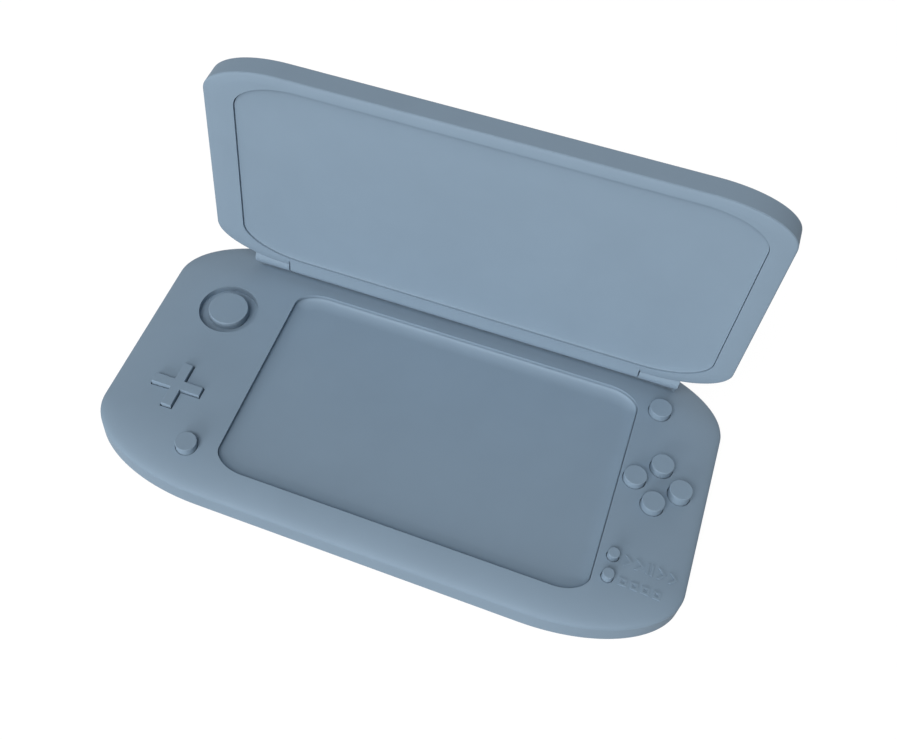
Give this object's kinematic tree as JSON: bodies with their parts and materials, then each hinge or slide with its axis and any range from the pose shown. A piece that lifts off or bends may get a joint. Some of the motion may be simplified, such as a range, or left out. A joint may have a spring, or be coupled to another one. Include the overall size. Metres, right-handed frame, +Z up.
{
  "type": "clamshell handheld game console",
  "caption": "Clamshell handheld console: base with sunk screen, thumb-stick, direction pad and buttons, and a hinged lid with a second screen.",
  "frame": {"origin": "Under the middle of the base, on the surface that its rubber feet stand on.", "axes": "X to the right as the user sees it, Y to the back, where the hinge is, Z up. The lid is stored standing upright, 90 degrees open."},
  "size_m": [0.18, 0.0966, 0.0945],
  "materials": {
    "case": "fine matt moulded plastic, blue-grey",
    "window": "satin screen lens, switched off, blue-grey like the case",
    "button": "matt moulded plastic, blue-grey",
    "inner_plastic": "dark moulded plastic",
    "light_plastic": "slippery white plastic",
    "silicone": "grey silicone rubber",
    "rubber": "black rubber",
    "board": "green solder-masked laminate",
    "steel": "plain bright steel",
    "display": "dark display module",
    "battery": "wrapped battery pack",
    "flex": "amber film"
  },
  "bodies": {
    "base": {"base_upper_shell": "case", "base_lower_shell": "case", "base_window": "window", "base_display": "display", "chassis_plate": "steel", "chassis_screws": "steel", "main_board": "board", "shield_can": "steel", "left_board": "board", "right_board": "board", "board_screws": "steel", "battery": "battery", "battery_cover": "case", "battery_cover_screw": "steel", "case_screws": "steel", "rubber_feet": "rubber", "speakers": "inner_plastic", "charge_port": "steel", "action_button_mat": "silicone", "menu_button_mat": "silicone", "option_button_mat": "silicone", "home_button_mat": "silicone", "pad_mat": "silicone", "pad_pivot": "inner_plastic", "stick_tray": "inner_plastic", "hinge_pins": "steel", "display_cable": "inner_plastic"},
    "lid": {"lid_outer_shell": "case", "lid_inner_shell": "case", "lid_window": "window", "lid_display": "display", "lid_board": "board", "lid_flex": "flex", "lid_magnet": "steel"},
    "pad_rocker": {"pad_rocker": "inner_plastic"},
    "direction_pad": {"direction_pad": "button"},
    "stick_carriage": {"stick_carriage": "light_plastic"},
    "stick": {"stick_slider": "inner_plastic", "stick_cap": "button"},
    "button_north": {"button_north": "button"},
    "button_east": {"button_east": "button"},
    "button_south": {"button_south": "button"},
    "button_west": {"button_west": "button"},
    "menu_button": {"menu_button": "button"},
    "home_button": {"home_button": "button"},
    "start_button": {"start_button": "button"},
    "select_button": {"select_button": "button"}
  },
  "joints": [
    {"name": "lid_hinge", "type": "hinge", "parent": "base", "child": "lid", "pos_m": [0.004, 0.0373, 0.0171], "axis": [1, 0, 0], "range_deg": [-65, 90]},
    {"name": "pad_tilt_x", "type": "hinge", "parent": "base", "child": "pad_rocker", "pos_m": [-0.069, -0.0177, 0.0072], "axis": [1, 0, 0], "range_deg": [-4, 4], "stiffness_Nm_per_rad": 0.1},
    {"name": "pad_tilt_y", "type": "hinge", "parent": "pad_rocker", "child": "direction_pad", "pos_m": [-0.069, -0.0177, 0.0072], "axis": [0, 1, 0], "range_deg": [-4, 4], "stiffness_Nm_per_rad": 0.1},
    {"name": "stick_slide_x", "type": "slide", "parent": "base", "child": "stick_carriage", "axis": [1, 0, 0], "range_m": [-0.0016, 0.0016], "stiffness_N_per_m": 200},
    {"name": "stick_slide_y", "type": "slide", "parent": "stick_carriage", "child": "stick", "axis": [0, 1, 0], "range_m": [-0.0016, 0.0016], "stiffness_N_per_m": 200},
    {"name": "button_north_press", "type": "slide", "parent": "base", "child": "button_north", "axis": [0, 0, -1], "range_m": [0, 0.0007], "stiffness_N_per_m": 600},
    {"name": "button_east_press", "type": "slide", "parent": "base", "child": "button_east", "axis": [0, 0, -1], "range_m": [0, 0.0007], "stiffness_N_per_m": 600},
    {"name": "button_south_press", "type": "slide", "parent": "base", "child": "button_south", "axis": [0, 0, -1], "range_m": [0, 0.0007], "stiffness_N_per_m": 600},
    {"name": "button_west_press", "type": "slide", "parent": "base", "child": "button_west", "axis": [0, 0, -1], "range_m": [0, 0.0007], "stiffness_N_per_m": 600},
    {"name": "menu_button_press", "type": "slide", "parent": "base", "child": "menu_button", "axis": [0, 0, -1], "range_m": [0, 0.0007], "stiffness_N_per_m": 600},
    {"name": "home_button_press", "type": "slide", "parent": "base", "child": "home_button", "axis": [0, 0, -1], "range_m": [0, 0.0007], "stiffness_N_per_m": 600},
    {"name": "start_button_press", "type": "slide", "parent": "base", "child": "start_button", "axis": [0, 0, -1], "range_m": [0, 0.0007], "stiffness_N_per_m": 600},
    {"name": "select_button_press", "type": "slide", "parent": "base", "child": "select_button", "axis": [0, 0, -1], "range_m": [0, 0.0007], "stiffness_N_per_m": 600}
  ]
}
